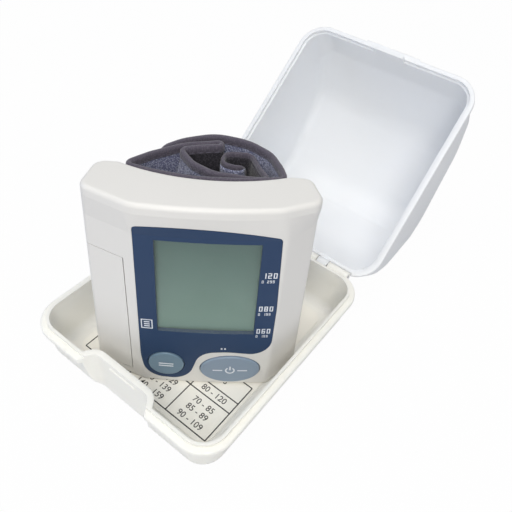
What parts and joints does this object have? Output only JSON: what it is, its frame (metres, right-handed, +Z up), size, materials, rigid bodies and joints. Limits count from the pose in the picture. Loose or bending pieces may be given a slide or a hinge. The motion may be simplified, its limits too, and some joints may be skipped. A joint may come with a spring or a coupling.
{
  "type": "wrist blood pressure monitor in its case",
  "caption": "Wrist blood pressure monitor with display, two keys and rolled cuff, standing in its open hinged plastic case.",
  "frame": {"origin": "centre of the flat underside of the case's tray", "axes": "+X along the case's hinge, +Y from the tray's front towards the hinge and the open lid, +Z up"},
  "size_m": [0.0862, 0.1841, 0.0831],
  "materials": {
    "case_plastic": "satin",
    "pin_steel": "satin",
    "printed_card": "matte",
    "housing_white": "satin",
    "panel_blue": "satin",
    "clear_window": "polished",
    "key_blue": "satin",
    "key_grey": "satin",
    "lcd_grey": "polished",
    "inner_grey": "matte",
    "soft_rubber": "matte",
    "board_green": "satin",
    "chip_black": "matte",
    "motor_steel": "satin",
    "cell_jacket": "satin",
    "spring_nickel": "polished",
    "cuff_cloth": "matte",
    "binding_tape": "matte"
  },
  "bodies": {
    "tray": {"case_tray": "case_plastic", "chart_card": "printed_card", "hinge_pins": "pin_steel"},
    "lid": {"case_lid": "case_plastic"},
    "monitor": {"front_housing": "housing_white", "back_cover": "housing_white", "display_panel": "panel_blue", "display_window": "clear_window", "housing_screws": "pin_steel", "lcd_glass": "lcd_grey", "lcd_holder": "inner_grey", "lcd_connectors": "soft_rubber", "main_board": "board_green", "controller_chip": "chip_black", "pressure_sensor": "chip_black", "buzzer": "chip_black", "key_switches": "chip_black", "pump_motor": "motor_steel", "pump_head": "inner_grey", "release_valve": "motor_steel", "air_tube": "soft_rubber", "battery_cells": "cell_jacket", "battery_contacts": "spring_nickel", "battery_cradle": "inner_grey", "cuff_retainer": "inner_grey", "cuff_band": "cuff_cloth", "cuff_binding": "binding_tape"},
    "start_key": {"start_button": "key_blue"},
    "recall_key": {"recall_button": "key_grey"},
    "cell_cover": {"battery_cover": "housing_white"}
  },
  "joints": [
    {"name": "lid_hinge", "type": "hinge", "parent": "tray", "child": "lid", "pos_m": [0, 0.0488, 0.0174], "axis": [1, 0, 0], "range_deg": [0, 70]},
    {"name": "monitor_lift", "type": "slide", "parent": "tray", "child": "monitor", "axis": [0, 0, 1], "range_m": [0, 0.022]},
    {"name": "start_press", "type": "slide", "parent": "monitor", "child": "start_key", "axis": [-0.6123, 0.7837, -0.1045], "range_m": [0, 0.0006], "stiffness_N_per_m": 1500},
    {"name": "recall_press", "type": "slide", "parent": "monitor", "child": "recall_key", "axis": [-0.6123, 0.7837, -0.1045], "range_m": [0, 0.0006], "stiffness_N_per_m": 1500},
    {"name": "cover_slide", "type": "slide", "parent": "monitor", "child": "cell_cover", "axis": [-0.788, -0.6157, 0], "range_m": [0, 0.0095]}
  ]
}
